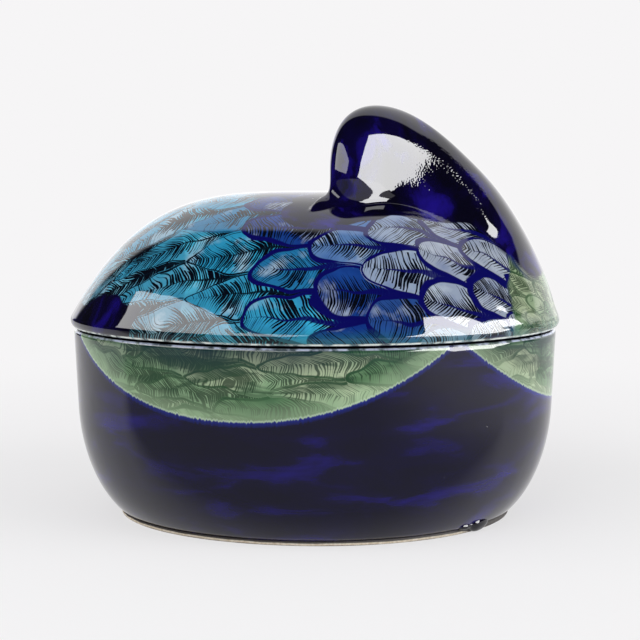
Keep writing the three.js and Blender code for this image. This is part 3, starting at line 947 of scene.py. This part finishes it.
def makeBareClay():
    # bare stoneware, wiped clean: matt, with fine sand grains, and a painted contact shade in dark brown
    # along its bottom where it meets the table
    look = clayLook
    material, add = newMaterial("bareFiredStoneware")
    place = add("TexCoord", out="Object")
    high = add("SeparateXYZ", [place], out="Z")
    grains = add("TexNoise", {"Vector": place, "Scale": 700, "Detail": 4})
    colour = coat(add, look["clay"], grains, *look["speckle"])
    wavy = add("TexNoise", {"Vector": place, "Scale": 90, "Detail": 2})
    high = add("MULTIPLY_ADD", [wavy, look["waver"], high])
    # painted contact shade: the bottom of the ring is darker where it meets the table
    colour = coat(add, colour, high, *look["contactShade"])
    # glaze covers the top of the foot, and all of it at the breast's end
    glazed = add("MapRange", [add("SeparateXYZ", [place], out="X"), *look["glazed"]])
    colour = coat(add, colour, add("ADD", [high, glazed]), *look["run"])
    bump = add("Bump", {"Strength": 0.5, "Distance": 0.0002, "Height": grains}, out="Normal")
    skin = {"Base Color": colour, "Roughness": 0.82, "IOR": 1.5, "Normal": bump}
    add("OutputMaterial", [add("BsdfPrincipled", skin, out="BSDF")], out=None)
    return material


insideGlaze = makePouredGlaze("pouredCobaltGlaze", thick=0.3)
for piece, glaze in (
    (bowlBody, makeCobaltGlaze()), (footRing, makeBareClay()), (lidFlange, insideGlaze),
    (glazeRun, makePouredGlaze("frozenCobaltGlaze", thick=0.9)), (lidBody, makePaintedGlaze()),
    (lidBody, insideGlaze),
):
    piece.data.materials.append(glaze)
for polygon in lidBody.data.polygons:
    if min(polygon.vertices) >= lidInsideStart:
        polygon.material_index = 1
print("glazes made")

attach(bowlBody, "bowl")
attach(footRing, "bowl")
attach(glazeRun, "bowl")
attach(lidBody, "lid")
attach(lidFlange, "lid")
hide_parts("bowl")
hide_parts("foot_ring")
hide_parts("lid_dome", "neck_and_head")
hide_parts("lid_flange")


# Studio

studio = dict(
    paper="#f6f5f6", litPaper="#f0f0f1", table="#a0a0a4", cameraAt=(0.0024, -0.649, 0.158), cameraTilt=5.87,
    cameraLens=76.05, floorSize=12,
    # ramps in metres: paper grey in front of the pot, white to its right, and fading into white far away
    paperFront=(-0.095, -0.05), paperBeside=(0.08, 0.4), paperFar=(0.12, 0.6, 0.6, 1), ambient=0.5,
    sweepWay=(0.25, 1, 0.6), sweep=(0.73, 0.79, 0.02, 1.5), softboxDistance=1.1, softboxAim=(0, 0, 0.12),
    # azimuth, elevation, width and height in degrees, roll, radiance as mirrored and as it lights
    softboxes=[
        ("rightSoftbox", 63.5, 16, 45, 47, -29, 15, 5),
        ("leftSoftbox", -53, 35, 78, 22, 0, 4.8, 4.6),
    ],
)

camera = bpy.data.cameras.new("camera")
camera.lens = studio["cameraLens"]
camera.sensor_width = 36
cameraObject = newObject("camera", camera)
cameraObject.location = studio["cameraAt"]
cameraObject.rotation_euler = (math.radians(90 - studio["cameraTilt"]), 0, 0)
scene.camera = cameraObject

bpy.ops.mesh.primitive_plane_add(size=studio["floorSize"])
floor = bpy.context.object
floor.name = "floor"
paper, add = newMaterial("paperBackdrop")
path = add("LightPath", out=None)
place = add("TexCoord", out="Object")
# white paper that keeps the shadow; in the glaze it is grey towards the camera and white to the right
front = add("MapRange", [add("SeparateXYZ", [place], out="Y"), *studio["paperFront"]], **smooth)
keep = add("MAXIMUM", [path.outputs["Is Camera Ray"], front])
beside = add("MapRange", [add("SeparateXYZ", [place], out="X"), *studio["paperBeside"]], **smooth)
bright = add("MAXIMUM", [keep, beside])
shown = add("MAXIMUM", [path.outputs["Is Camera Ray"], path.outputs["Is Glossy Ray"]])
shown = add("MAXIMUM", [shown, path.outputs["Is Transmission Ray"]])
lit = add("BsdfDiffuse", {"Color": studio["litPaper"]})
glow = add("Emission", {"Color": coat(add, studio["table"], bright, studio["paper"])})
away = add("VectorMath LENGTH", [place], out=1)
far = add("MapRange", [away, *studio["paperFar"]], **smooth)
far = add("Mix", {0: keep, 2: 1, 3: far})
share = add("MULTIPLY", [shown, far])
mixed = add("MixShader", [share, lit, glow])
add("OutputMaterial", [mixed], out=None)
floor.data.materials.append(paper)

world = bpy.data.worlds.new("studio")
scene.world = world
add = nodesOf(world)
path = add("LightPath", out=None)
way = add("TexCoord", out="Generated")
# the camera sees white all round; glaze mirrors the white sweep behind the pot, whose edge slopes down to
# the right, and a dim room in front; even light reaches the object from everywhere
edge = add("VectorMath DOT_PRODUCT", [way, studio["sweepWay"]], out=1)
sweep = add("MapRange", [edge, *studio["sweep"]], **smooth)
mirrored = add("MAXIMUM", [path.outputs["Is Glossy Ray"], path.outputs["Is Transmission Ray"]])
level = add("Mix", {0: mirrored, 2: studio["ambient"], 3: sweep})
level = add("Mix", {0: path.outputs["Is Camera Ray"], 2: level, 3: 1})
sky = add("Background", {"Color": studio["paper"], "Strength": level})
add("OutputWorld", [sky], out=None)


def makeSoftbox(name, azimuth, elevation, width, height, roll, mirrored, lighting):
    # azimuth 0 is behind the camera and 90 beside the breast. Mirrored in glaze a softbox is far brighter
    # than paper, so one lamp is seen only by mirrored rays and another only lights
    around, up = math.radians(azimuth), math.radians(elevation)
    aim = Vector((math.sin(around) * math.cos(up), -math.cos(around) * math.cos(up), math.sin(up)))
    for part, radiance in (("Mirrored", mirrored), ("Lighting", lighting)):
        lamp = bpy.data.lights.new(name + part, "AREA")
        lamp.shape = "RECTANGLE"
        away = studio["softboxDistance"]
        lamp.size, lamp.size_y = (2 * away * math.tan(math.radians(a) / 2) for a in (width, height))
        lamp.energy = radiance * math.pi * lamp.size * lamp.size_y
        softbox = newObject(name + part, lamp)
        softbox.location = aim * away + Vector(studio["softboxAim"])
        turned = aim.to_track_quat("Z", "Y") @ Quaternion((0, 0, 1), math.radians(roll))
        softbox.rotation_euler = turned.to_euler()
        softbox.visible_camera = False
        softbox.visible_glossy = part == "Mirrored"
        softbox.visible_diffuse = part == "Lighting"


for settings in studio["softboxes"]:
    makeSoftbox(*settings)

scene.view_settings.view_transform = "Standard"
print("studio made")
